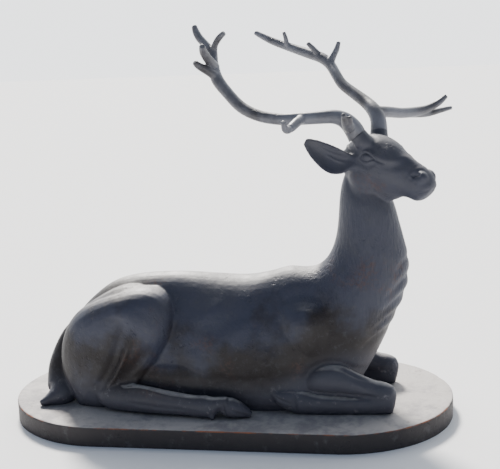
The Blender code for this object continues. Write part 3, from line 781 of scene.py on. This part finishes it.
# %% Antler forms
RIGHT_ANTLER = [
    [
        (49, -5.5, 92, 3.2),
        (47.5, -6.5, 95.5, 3.2),
        (45, -7.5, 98.5, 2.8),
        (41.5, -8.5, 100, 2.4),
        (36, -9.5, 100, 2.2),
        (30, -9.5, 99.8, 2.15),
        (23, -9, 99.8, 2),
        (16.2, -8, 101, 1.95),
        (10, -5.5, 103.8, 2),
        (5, -2.5, 108.4, 2),
        (1, 0, 113.2, 2.15),
        (-0.5, 2.5, 118, 1.8),
        (-0.8, 4.5, 122, 1.5),
    ],
    [
        (46.5, -7, 97, 1.9),
        (46.2, -12, 96.7, 1.8),
        (46.4, -18, 97.5, 1.6),
        (46.2, -24, 99.5, 1.3),
        (46, -29, 102.3, 0.7),
    ],
    [(46.3, -17, 97.4, 1.4), (47.4, -23, 99, 1.1), (48, -27, 101.4, 0.6)],
    [
        (31.2, -9.5, 99.8, 1.6),
        (29.7, -13.5, 99, 1.6),
        (27.9, -18, 97.4, 1.45),
        (26.9, -21.5, 97.5, 1.2),
        (26.5, -24, 100.2, 0.8),
    ],
    [
        (1.5, 0, 113, 1.7),
        (-0.6, -1, 115.2, 1.6),
        (-3, -3, 117, 1.4),
        (-4.5, -4.5, 118.2, 1.2),
        (-5.3, -5.5, 119.3, 0.9),
    ],
    [(0.4, 2, 117, 1.5), (-1, -2, 119.5, 1.6), (-1.9, -6, 122.4, 1.4), (-1.8, -8.5, 124.5, 1)],
    [
        (-0.9, 4.5, 121.8, 1.5),
        (-3.7, 6.5, 124.6, 1.4),
        (-6.2, 8, 127.1, 1.4),
        (-7.6, 9, 129.4, 1.25),
        (-8.2, 9.5, 131.4, 0.9),
    ],
    [(-0.7, 4.5, 122, 1.3), (0, 4, 124.5, 1.1), (1.7, 3, 126.8, 1.1), (3.8, 2, 128.5, 0.9)],
]
LEFT_ANTLER = [
    [
        (55.3, 3.5, 91.5, 3.1),
        (55.3, 4.5, 94.5, 2.9),
        (55, 5.5, 97.5, 2.7),
        (53.5, 8, 100.4, 2.5),
        (50.6, 12, 103, 2.2),
        (46.2, 16, 106, 2),
        (42, 20, 109, 1.9),
        (39.4, 24, 112.5, 1.85),
        (37.2, 28, 115.5, 1.9),
        (34, 31, 118, 2),
        (28, 35, 120, 1.85),
        (22, 38, 122, 1.65),
        (15, 40.5, 124.5, 1.4),
        (10.2, 42, 126.8, 1.15),
        (7.6, 42.5, 128.2, 0.85),
    ],
    [
        (54.5, 7, 99.9, 2.1),
        (58.2, 11, 99.5, 1.95),
        (62.8, 16, 98.6, 1.85),
        (67.6, 21, 98.5, 1.75),
        (71.4, 24, 99.2, 1.4),
        (75.3, 26.5, 100.9, 1.25),
        (78.3, 28, 103.3, 0.85),
    ],
    [(65.5, 20, 97.8, 1.3), (71, 25, 97.3, 1.2), (76, 29, 98, 1), (80.2, 32, 98.7, 0.7)],
    [(37, 28, 116, 1.6), (38.3, 28.5, 118.7, 1.2), (39.5, 29, 121, 1.05), (40.3, 29.5, 123.7, 0.75)],
    [(33.8, 32, 118, 1.3), (32.2, 31, 120, 1.05), (30.4, 30.5, 122, 0.95), (28.8, 30, 123.7, 0.75)],
    [(21.4, 38, 122, 1.1), (20.4, 37.5, 123.6, 0.95), (20, 37, 125.7, 0.85), (19.4, 36.5, 128, 0.65)],
]


# %% Antlers
def build_antler(name, parts, seat, mirror):
    """Beam and tines, fused and cut flat where the foot meets the skull."""
    bm = bmesh.new()
    for stations in parts:
        rows = [(x, y, z, radius, radius) for x, y, z, radius in stations]
        limb(bm, rows, up=(0.3, 1, 0.2))
    antler = fused(name, bm, ANTLER_VOXEL, ANTLER_SMOOTHING)
    write_points(antler.data, placed(read_points(antler.data) / GRID))
    middle, way = seat_plane(seat, mirror)
    cut_flat(antler.data, middle + way * SEAT_GAP, -way)
    antler.data.shade_smooth()
    return antler


antler_right_cast = build_antler("antler_right_cast", RIGHT_ANTLER, RIGHT_SEAT, -1)
antler_left_cast = build_antler("antler_left_cast", LEFT_ANTLER, LEFT_SEAT, 1)
print("antler faces:", len(antler_right_cast.data.polygons), len(antler_left_cast.data.polygons))

# %% [markdown]
# Plinth
#
# The plinth was cast in a sand mould, so its rim isn't dead straight. A circle is stretched
# to round ends and extruded upwards in narrow bands, then inwards in rings over the top. Every
# extrusion leaves its cap inside, so those are deleted at the end. Each band is moved in by a
# little smooth noise, and the upper edge has worn spots.

# %% Plinth
RIM_CORNERS = 384
WALL_BANDS = 10
EDGE_TURNS = np.radians([22.5, 45, 67.5, 90])
TOP_RINGS = (0.03, 0.1, 0.25, 0.4)
PLINTH_EDGE = 0.005
RIM_WAVE = 0.0012
CHIP_DEPTH = 0.003
CHIP_REACH = 0.012
SHARP_FROM = math.radians(40)


def build_plinth():
    bm = bmesh.new()
    half = PLINTH_WIDTH / 2
    circle = bmesh.ops.create_circle(bm, cap_ends=True, segments=RIM_CORNERS, radius=half)
    for corner in circle["verts"]:
        corner.co.x += math.copysign(PLINTH_LENGTH / 2 - half, corner.co.x)
    cap = circle["verts"][0].link_faces[0]
    wall = PLINTH_HEIGHT - PLINTH_EDGE
    levels = [(wall * band / WALL_BANDS, 0) for band in range(1, WALL_BANDS + 1)]
    for turn in EDGE_TURNS:
        rounding = PLINTH_EDGE * (1 - math.cos(turn))
        levels.append((wall + PLINTH_EDGE * math.sin(turn), rounding))
    levels.extend((PLINTH_HEIGHT, PLINTH_WIDTH * share) for share in TOP_RINGS)
    before = 0
    for level, inset in levels:
        grown = bmesh.ops.extrude_face_region(bm, geom=[cap])["geom"]
        cap = next(part for part in grown if isinstance(part, bmesh.types.BMFace))
        for corner in cap.verts:
            corner.co.z = level
            straight = PLINTH_LENGTH / 2 - half
            middle = Vector((np.clip(corner.co.x, -straight, straight), 0))
            inward = (middle - corner.co.xy).normalized()
            corner.co.xy += inward * (inset - before)
        before = inset
    layers = [face for face in bm.faces if all(len(edge.link_faces) > 2 for edge in face.edges)]
    bmesh.ops.delete(bm, geom=layers, context="FACES_ONLY")
    bmesh.ops.recalc_face_normals(bm, faces=bm.faces)
    for corner in set(bm.verts) - set(cap.verts):
        weather_rim(corner)
    return new_object("plinth_cast", bm)


def weather_rim(corner):
    """Moves a corner of the rim inwards by the mould's waviness and by chips at the top."""
    inward = Vector((-corner.co.x * PLINTH_WIDTH / PLINTH_LENGTH, -corner.co.y, 0)).normalized()
    wave = noise.noise(corner.co * 9) + 0.5 * noise.noise(corner.co * 31)
    shift = RIM_WAVE * (wave + 1)
    near_top = max(0, 1 - (PLINTH_HEIGHT - corner.co.z) / CHIP_REACH)
    chip = max(0, noise.noise(corner.co * 23 + Vector((5, 0, 0))) - 0.25) * 2
    corner.co += inward * (shift + CHIP_DEPTH * chip * near_top)
    corner.co.z -= CHIP_DEPTH * 0.5 * chip * near_top


plinth_cast = build_plinth()
plinth_cast.data.shade_smooth()
plinth_cast.data.set_sharp_from_angle(angle=SHARP_FROM)
print("plinth faces:", len(plinth_cast.data.polygons))

# %% [markdown]
# The iron's skin
#
# Cast iron shows the grain of its sand mould, small pits, and a slow change of tone where the
# patina is older. Outdoors, dust settles on it and rust breaks out. Sand skin, dust and rust are
# each a node group that puts out heights or masks; the dust mask on what faces up is also a
# painted highlight of the sun. A group is built once, and each material takes the ones it needs,
# with its own amounts.

# %% Node helpers
def link(tree, source, target):
    tree.links.new(source, target)


def new_group(name, inputs, outputs):
    """An empty node group with named float inputs and outputs."""
    group = bpy.data.node_groups.new(name, "ShaderNodeTree")
    for label, value in inputs.items():
        socket = group.interface.new_socket(label, in_out="INPUT", socket_type="NodeSocketFloat")
        socket.default_value = value
    for label in outputs:
        group.interface.new_socket(label, in_out="OUTPUT", socket_type="NodeSocketFloat")
    return group, group.nodes.new("NodeGroupInput"), group.nodes.new("NodeGroupOutput")


def noise_node(tree, coordinate, scale, detail=3.0, roughness=0.55):
    node = tree.nodes.new("ShaderNodeTexNoise")
    node.inputs["Scale"].default_value = scale
    node.inputs["Detail"].default_value = detail
    node.inputs["Roughness"].default_value = roughness
    link(tree, coordinate, node.inputs["Vector"])
    return node.outputs["Fac"]


def ranged(tree, value, low, high, out_low=0.0, out_high=1.0):
    """A value mapped smoothly from one range to another."""
    node = tree.nodes.new("ShaderNodeMapRange")
    node.interpolation_type = "SMOOTHSTEP"
    amounts = {"From Min": low, "From Max": high, "To Min": out_low, "To Max": out_high}
    for label, amount in amounts.items():
        node.inputs[label].default_value = amount
    link(tree, value, node.inputs["Value"])
    return node.outputs["Result"]


def maths(tree, operation, first, second):
    node = tree.nodes.new("ShaderNodeMath")
    node.operation = operation
    for socket, value in zip(node.inputs, (first, second)):
        if isinstance(value, (int, float)):
            socket.default_value = value
        else:
            link(tree, value, socket)
    return node.outputs[0]


def mixed(tree, share, first, second):
    """Two colours mixed by a share."""
    node = tree.nodes.new("ShaderNodeMix")
    node.data_type = "RGBA"
    for label, value in (("Factor_Float", share), ("A_Color", first), ("B_Color", second)):
        socket = next(s for s in node.inputs if s.identifier == label)
        if isinstance(value, (tuple, float)):
            socket.default_value = value
        else:
            link(tree, value, socket)
    return next(s for s in node.outputs if s.identifier == "Result_Color")


# %% Shared effects
def sand_skin_group():
    """Height of sand grain and pits, a slow mottle of tone and small pale flecks."""
    group, _, out = new_group("sand skin", {}, ["Height", "Mottle", "Flecks"])
    place = group.nodes.new("ShaderNodeTexCoord").outputs["Object"]
    grain = noise_node(group, place, 420, 2)
    dents = maths(group, "MULTIPLY", noise_node(group, place, 20, 2), 1.6)
    lumps = maths(group, "ADD", noise_node(group, place, 55, 4), dents)
    pit = ranged(group, noise_node(group, place, 75, 3), 0.56, 0.7, 0.0, 0.7)
    where = ranged(group, noise_node(group, place, 9, 3), 0.48, 0.64)
    fine = maths(group, "MULTIPLY", grain, 0.18)
    height = maths(group, "ADD", fine, maths(group, "MULTIPLY", lumps, 0.6))
    height = maths(group, "SUBTRACT", height, maths(group, "MULTIPLY", pit, where))
    link(group, height, out.inputs["Height"])
    link(group, noise_node(group, place, 4.5, 5, 0.6), out.inputs["Mottle"])
    link(group, ranged(group, noise_node(group, place, 48, 6, 0.75), 0.5, 0.75), out.inputs["Flecks"])
    return group


def dust_and_painted_sunlight_group():
    """Mask of dust, and of painted sunlight, where the surface looks up."""
    group, inside, out = new_group("dusty tops with painted sunlight", {"Amount": 0.5}, ["Mask"])
    place = group.nodes.new("ShaderNodeTexCoord").outputs["Object"]
    facing = group.nodes.new("ShaderNodeSeparateXYZ")
    link(group, group.nodes.new("ShaderNodeNewGeometry").outputs["Normal"], facing.inputs[0])
    up = ranged(group, facing.outputs["Z"], 0.74, 1.0)
    patch = ranged(group, noise_node(group, place, 16, 6, 0.65), 0.3, 0.7, 0.45, 1.0)
    mask = maths(group, "MULTIPLY", maths(group, "MULTIPLY", up, patch), inside.outputs["Amount"])
    link(group, mask, out.inputs["Mask"])
    return group


def rust_bloom_group():
    """Mask of rust that breaks out in patches."""
    group, inside, out = new_group("rust bloom", {"Amount": 0.5}, ["Mask"])
    place = group.nodes.new("ShaderNodeTexCoord").outputs["Object"]
    patch = ranged(group, noise_node(group, place, 6.5, 3), 0.56, 0.72)
    speckle = ranged(group, noise_node(group, place, 70, 4, 0.7), 0.42, 0.66)
    mask = maths(group, "MULTIPLY", maths(group, "MULTIPLY", patch, speckle), inside.outputs["Amount"])
    link(group, mask, out.inputs["Mask"])
    return group


SAND_SKIN = sand_skin_group()
# The dust mask also paints sunlight on what faces up.
DUST_AND_SUNLIGHT_GROUP = dust_and_painted_sunlight_group()
RUST_BLOOM = rust_bloom_group()


def placed_group(tree, group, **amounts):
    node = tree.nodes.new("ShaderNodeGroup")
    node.node_tree = group
    for label, value in amounts.items():
        node.inputs[label].default_value = value
    return node


# %% [markdown]
# Stag's finish
#
# The iron is almost black, bluish on the flank, and brown and darker towards the belly, where the
# darkness is painted shade. It turns greyer and lighter up the neck and the head, with flecks of
# the same grey. Legs are paler from handling and their shins scuffed, pale dust with a painted
# highlight of the sun whitens what faces up, and rust blooms in patches. Short strokes of hair
# are combed down the neck, as a bump that is stretched along them.

# %% Stag material
BLUE_IRON = (0.034, 0.038, 0.060, 1)
# Dark brown, used as painted shade low on the body and as a mottle on the antlers.
BROWN_IRON_AND_PAINTED_SHADE = (0.017, 0.0135, 0.0135, 1)
GREY_IRON = (0.054, 0.054, 0.062, 1)
# Pale dust, which on the tops also stands for painted sunlight.
DUST_AND_PAINTED_SUNLIGHT = (0.44, 0.42, 0.40, 1)
HANDLED_IRON = (0.064, 0.067, 0.088, 1)
RUST = (0.080, 0.038, 0.026, 1)
SCUFF = (0.25, 0.24, 0.25, 1)


def shader_of(name, roughness, sheen):
    made = bpy.data.materials.new(name)
    made.use_nodes = True
    shader = made.node_tree.nodes["Principled BSDF"]
    shader.inputs["Roughness"].default_value = roughness
    shader.inputs["Specular IOR Level"].default_value = sheen
    return made, made.node_tree, shader


def bumped(tree, shader, height, distance, strength=1.0):
    bump = tree.nodes.new("ShaderNodeBump")
    bump.inputs["Distance"].default_value = distance
    bump.inputs["Strength"].default_value = strength
    link(tree, height, bump.inputs["Height"])
    link(tree, bump.outputs["Normal"], shader.inputs["Normal"])


def object_axes(tree):
    """Object coordinates, whole and split."""
    place = tree.nodes.new("ShaderNodeTexCoord").outputs["Object"]
    split = tree.nodes.new("ShaderNodeSeparateXYZ")
    link(tree, place, split.inputs[0])
    return place, split


def hair_strokes(tree, place, split):
    """Height of short strokes combed down the neck, faded out on the back and the head."""
    comb = tree.nodes.new("ShaderNodeMapping")
    comb.inputs["Rotation"].default_value = (0, math.radians(-28), 0)
    comb.inputs["Scale"].default_value = (150, 150, 22)
    link(tree, place, comb.inputs["Vector"])
    strokes = maths(tree, "MULTIPLY", noise_node(tree, comb.outputs["Vector"], 1.0, 2), 1.8)
    high = ranged(tree, split.outputs["Z"], 0.30, 0.46)
    low = ranged(tree, split.outputs["Z"], 0.84, 0.74)
    ahead = ranged(tree, split.outputs["X"], 0.22, 0.36)
    where = maths(tree, "MULTIPLY", maths(tree, "MULTIPLY", high, low), ahead)
    return maths(tree, "MULTIPLY", strokes, where)


def body_tones(tree, place, split, skin_node):
    """Blue flank, belly brown with painted shade, grey neck and head, cloudy borders, grey flecks."""
    clouds = maths(tree, "MULTIPLY", noise_node(tree, place, 2.6, 5, 0.6), 1.6)
    drift = maths(tree, "SUBTRACT", split.outputs["Z"], clouds)
    chest = ranged(tree, split.outputs["X"], 0.3, 0.42, 0.0, 0.12)
    drift = maths(tree, "SUBTRACT", drift, chest)
    # Darker and browner towards the belly: painted shade.
    lower = ranged(tree, drift, -0.22, -0.62)
    tone = maths(tree, "ADD", lower, maths(tree, "SUBTRACT", skin_node.outputs["Mottle"], 0.5))
    colour = mixed(tree, ranged(tree, tone, 0.0, 1.0), BLUE_IRON, BROWN_IRON_AND_PAINTED_SHADE)
    upper = ranged(tree, drift, -0.4, 0.2, 0.0, 0.75)
    colour = mixed(tree, upper, colour, GREY_IRON)
    flecks = maths(tree, "MULTIPLY", skin_node.outputs["Flecks"], 0.6)
    return mixed(tree, flecks, colour, GREY_IRON)


def leg_wear(tree, place, split, colour):
    """Legs paler from handling, with pale scuffs on the shins."""
    forelegs = ranged(tree, split.outputs["X"], 0.12, 0.45, 0.0, 0.11)
    legs = ranged(tree, maths(tree, "SUBTRACT", split.outputs["Z"], forelegs), 0.2, 0.1)
    colour = mixed(tree, maths(tree, "MULTIPLY", legs, 0.75), colour, HANDLED_IRON)
    scuffs = ranged(tree, noise_node(tree, place, 38, 5, 0.7), 0.57, 0.75, 0.0, 0.5)
    scuffs = maths(tree, "MULTIPLY", scuffs, ranged(tree, split.outputs["Z"], 0.19, 0.13))
    return mixed(tree, scuffs, colour, SCUFF)


def body_dust_and_painted_sunlight(tree, split, colour):
    """Dust and painted sunlight on the back and the haunch, thinner on the head."""
    # Pale on what faces up: dust, and a painted highlight of the sun.
    dust_and_sunlight = placed_group(tree, DUST_AND_SUNLIGHT_GROUP, Amount=0.85)
    low_down = ranged(tree, split.outputs["Z"], 0.78, 0.6, 0.4, 1.0)
    return mixed(tree, maths(tree, "MULTIPLY", dust_and_sunlight.outputs["Mask"], low_down), colour, DUST_AND_PAINTED_SUNLIGHT)


def stag_material():
    made, tree, shader = shader_of("stag iron", 0.5, 0.3)
    place, split = object_axes(tree)
    skin_node = placed_group(tree, SAND_SKIN)
    colour = body_tones(tree, place, split, skin_node)
    rust = placed_group(tree, RUST_BLOOM, Amount=0.5)
    colour = mixed(tree, rust.outputs["Mask"], colour, RUST)
    colour = leg_wear(tree, place, split, colour)
    colour = body_dust_and_painted_sunlight(tree, split, colour)
    link(tree, colour, shader.inputs["Base Color"])
    rough = ranged(tree, skin_node.outputs["Mottle"], 0.3, 0.7, 0.42, 0.6)
    link(tree, rough, shader.inputs["Roughness"])
    height = maths(tree, "ADD", skin_node.outputs["Height"], hair_strokes(tree, place, split))
    bumped(tree, shader, height, 0.0018)
    return made


# %% [markdown]
# Antlers' and plinth's finish
#
# The antlers are smoother and a little lighter, so they get the same sand skin with a shallower
# bump, and more gloss. The plinth is dusty on top like its surroundings, brown-black down its
# side, and its upper edge shows rust where the patina has worn through. Masks made from height
# and facing were chosen over a painted image, because they need no unwrapping.

# %% Antler and plinth materials
ANTLER_IRON = (0.15, 0.155, 0.18, 1)
PLINTH_TOP = (0.42, 0.39, 0.37, 1)
PLINTH_TOP_DARK = (0.25, 0.235, 0.235, 1)
PLINTH_SIDE = (0.040, 0.035, 0.036, 1)
PLINTH_SIDE_PALE = (0.10, 0.096, 0.10, 1)
EDGE_RUST = (0.28, 0.10, 0.05, 1)


def antler_material():
    made, tree, shader = shader_of("antler iron", 0.42, 0.4)
    skin_node = placed_group(tree, SAND_SKIN)
    colour = mixed(tree, ranged(tree, skin_node.outputs["Mottle"], 0.35, 0.7), ANTLER_IRON, BROWN_IRON_AND_PAINTED_SHADE)
    # Pale on what faces up: dust, and a painted highlight of the sun.
    dust_and_sunlight = placed_group(tree, DUST_AND_SUNLIGHT_GROUP, Amount=0.4)
    colour = mixed(tree, dust_and_sunlight.outputs["Mask"], colour, DUST_AND_PAINTED_SUNLIGHT)
    link(tree, colour, shader.inputs["Base Color"])
    bumped(tree, shader, skin_node.outputs["Height"], 0.001)
    return made


def plinth_tones(tree, place, up):
    """Scuffed dark side, and dusty top with darker stains."""
    scuffs = ranged(tree, noise_node(tree, place, 17, 6, 0.68), 0.55, 0.75, 0, 0.7)
    side = mixed(tree, scuffs, PLINTH_SIDE, PLINTH_SIDE_PALE)
    stains = ranged(tree, noise_node(tree, place, 7, 6, 0.7), 0.42, 0.62)
    top = mixed(tree, stains, PLINTH_TOP, PLINTH_TOP_DARK)
    return mixed(tree, ranged(tree, up, 0.5, 0.9), side, top)


def edge_rust(tree, place, split, up):
    """Mask of rust in patches along the upper edge."""
    near_edge = ranged(tree, split.outputs["Z"], PLINTH_HEIGHT - 0.006, PLINTH_HEIGHT - 0.002)
    off_top = ranged(tree, up, 0.98, 0.8)
    worn = ranged(tree, noise_node(tree, place, 9, 6, 0.7), 0.45, 0.62)
    return maths(tree, "MULTIPLY", maths(tree, "MULTIPLY", near_edge, off_top), worn)


def plinth_material():
    made, tree, shader = shader_of("plinth iron", 0.6, 0.25)
    place, split = object_axes(tree)
    skin_node = placed_group(tree, SAND_SKIN)
    facing = tree.nodes.new("ShaderNodeSeparateXYZ")
    link(tree, tree.nodes.new("ShaderNodeNewGeometry").outputs["Normal"], facing.inputs[0])
    up = facing.outputs["Z"]
    colour = plinth_tones(tree, place, up)
    colour = mixed(tree, edge_rust(tree, place, split, up), colour, EDGE_RUST)
    link(tree, colour, shader.inputs["Base Color"])
    bumped(tree, shader, skin_node.outputs["Height"], 0.003)
    return made


# %% [markdown]
# Dressing the solids
#
# Each mesh takes the place of the solid that it was shaped after, with a finish of its own.
# Nothing moves on the statue, so all four ride on the one body.

# %% Dress the solids
def dress(piece, node, finish):
    """Puts a piece in a solid's place, with its finish, riding on the one body."""
    piece.data.materials.clear()
    piece.data.materials.append(finish)
    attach(piece, "root")
    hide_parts(node)


antler_iron = antler_material()
dress(stag_cast, "stag", stag_material())
dress(antler_right_cast, "antler_right", antler_iron)
dress(antler_left_cast, "antler_left", antler_iron)
dress(plinth_cast, "plinth", plinth_material())
print("finishes:", sorted(finish.name for finish in bpy.data.materials if finish.users))

# %% [markdown]
# Floor
#
# A wide pale floor throws light back on the flank, as the paving round a garden statue does.

# %% Floor
FLOOR_SIZE = 60


def build_floor():
    bm = bmesh.new()
    bmesh.ops.create_grid(bm, x_segments=1, y_segments=1, size=FLOOR_SIZE / 2)
    floor = new_object("floor", bm)
    made, _, shader = shader_of("pale floor", 0.9, 0.2)
    shader.inputs["Base Color"].default_value = (0.82, 0.82, 0.82, 1)
    floor.data.materials.append(made)


build_floor()


# %% [markdown]
# Light
#
# The photograph was taken outdoors with the sun behind the statue, so the back, the top of the
# thigh and the antlers shine and the flank is in soft shade. A soft sun lamp stands behind and
# above, and the pale sky is brighter behind the statue than in front.

# %% Light
SUN_FROM = (-0.28, 0.71, 0.70)
SUN_STRENGTH = 10
SUN_SOFTNESS = math.radians(12)
SKY_IN_FRONT = (0.27, 0.33, 0.44, 1)
SKY_BEHIND = (2.5, 2.55, 2.6, 1)


def build_sun():
    data = bpy.data.lights.new("soft sun", "SUN")
    data.energy = SUN_STRENGTH
    data.angle = SUN_SOFTNESS
    data.color = (1.0, 0.96, 0.90)
    light = bpy.data.objects.new("soft sun", data)
    light.location = Vector(SUN_FROM) * 4
    light.rotation_euler = Vector(SUN_FROM).to_track_quat("Z", "Y").to_euler()
    bpy.context.scene.collection.objects.link(light)


def build_sky():
    """A plain pale sky, bright behind the statue and dimmer on the viewer's side."""
    world = bpy.data.worlds.new("pale sky")
    bpy.context.scene.world = world
    world.use_nodes = True
    tree = world.node_tree
    way = tree.nodes.new("ShaderNodeSeparateXYZ")
    link(tree, tree.nodes.new("ShaderNodeTexCoord").outputs["Generated"], way.inputs[0])
    behind = ranged(tree, way.outputs["Y"], -0.1, 0.8)
    sky = tree.nodes["Background"]
    link(tree, mixed(tree, behind, SKY_IN_FRONT, SKY_BEHIND), sky.inputs["Color"])


build_sun()
build_sky()

print("sun from:", SUN_FROM)

# %% [markdown]
# Camera
#
# The camera's place was found from the plinth's outline in the photograph. It looks from a
# little to the stag's front, from the height of its antlers and down on its back, and it is
# rolled by 2.4 degrees, as the photograph is.

# %% Camera
PHOTO_WIDTH = 500
FOCAL_PIXELS = 993.5
CAMERA_AZIMUTH = math.radians(10.2)
CAMERA_ELEVATION = math.radians(11.5)
CAMERA_ROLL = math.radians(2.42)
CAMERA_DISTANCE = 2.2 * PLINTH_LENGTH
CAMERA_TARGET = Vector((0.0588 * PLINTH_LENGTH, 0, 0.3635 * PLINTH_LENGTH + PLINTH_HEIGHT))


def build_camera():
    data = bpy.data.cameras.new("camera")
    data.sensor_fit = "HORIZONTAL"
    data.sensor_width = 36
    data.lens = FOCAL_PIXELS / PHOTO_WIDTH * data.sensor_width
    camera = bpy.data.objects.new("camera", data)
    back = Vector(
        (
            math.sin(CAMERA_AZIMUTH) * math.cos(CAMERA_ELEVATION),
            -math.cos(CAMERA_AZIMUTH) * math.cos(CAMERA_ELEVATION),
            math.sin(CAMERA_ELEVATION),
        )
    )
    camera.location = CAMERA_TARGET + back * CAMERA_DISTANCE
    camera.rotation_mode = "QUATERNION"
    camera.rotation_quaternion = back.to_track_quat("Z", "Y") @ Quaternion((0, 0, 1), -CAMERA_ROLL)
    bpy.context.scene.collection.objects.link(camera)
    bpy.context.scene.camera = camera


build_camera()
print("camera distance:", round(CAMERA_DISTANCE, 2), "m")
